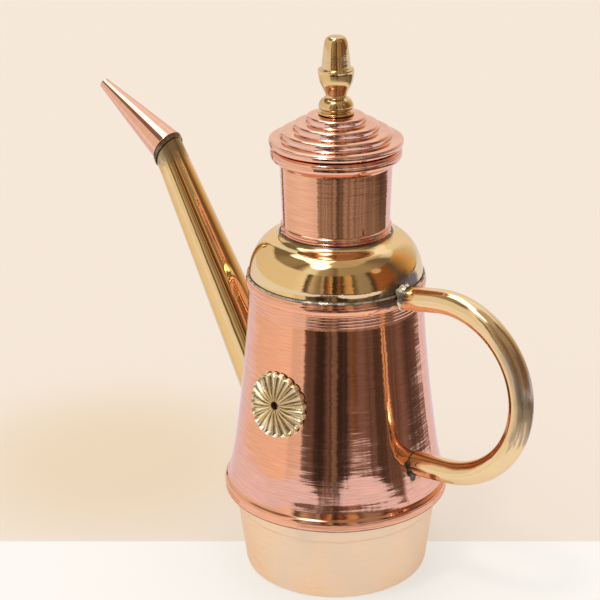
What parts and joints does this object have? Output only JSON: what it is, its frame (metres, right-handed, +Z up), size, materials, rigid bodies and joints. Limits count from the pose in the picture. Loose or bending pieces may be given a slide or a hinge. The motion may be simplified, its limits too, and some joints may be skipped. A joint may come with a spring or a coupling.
{
  "type": "oil dispenser",
  "caption": "Tall conical oil dispenser of spun copper and brass with a base cup, a long slanted spout with a bent tip, a ring handle, a fluted rosette and a stepped lift-off lid with a knob.",
  "frame": {"origin": "centre of the base cup's flat underside", "axes": "+Z up the jar's axis, +X towards the handle, -X towards the spout, and the rosette near -Y"},
  "size_m": [0.2836, 0.1154, 0.2789],
  "materials": {
    "copper": "polished copper with fine turning lines",
    "brass": "polished yellow brass",
    "pale_brass": "satin pale brass",
    "solder": "dull grey solder",
    "screw_steel": "brushed"
  },
  "bodies": {
    "jar": {"base_cup": "pale_brass", "base_solder_seam": "solder", "body_shell": "copper", "shoulder_dome": "brass", "shoulder_solder_seam": "solder", "neck_cup": "copper", "neck_solder_seam": "solder", "spout_tube": "brass", "spout_base_solder": "solder", "spout_tip": "copper", "spout_joint_solder": "solder", "handle_tube": "brass", "handle_top_solder": "solder", "handle_bottom_solder": "solder", "rosette": "brass", "rosette_solder": "solder"},
    "lid": {"lid_cap": "copper", "lid_skirt": "copper", "skirt_solder_seam": "solder", "lid_finial": "brass", "finial_washer": "screw_steel", "finial_screw": "screw_steel"}
  },
  "joints": [
    {"name": "lid_lift", "type": "slide", "parent": "jar", "child": "lid", "axis": [0, 0, 1], "range_m": [0, 0.08]}
  ]
}
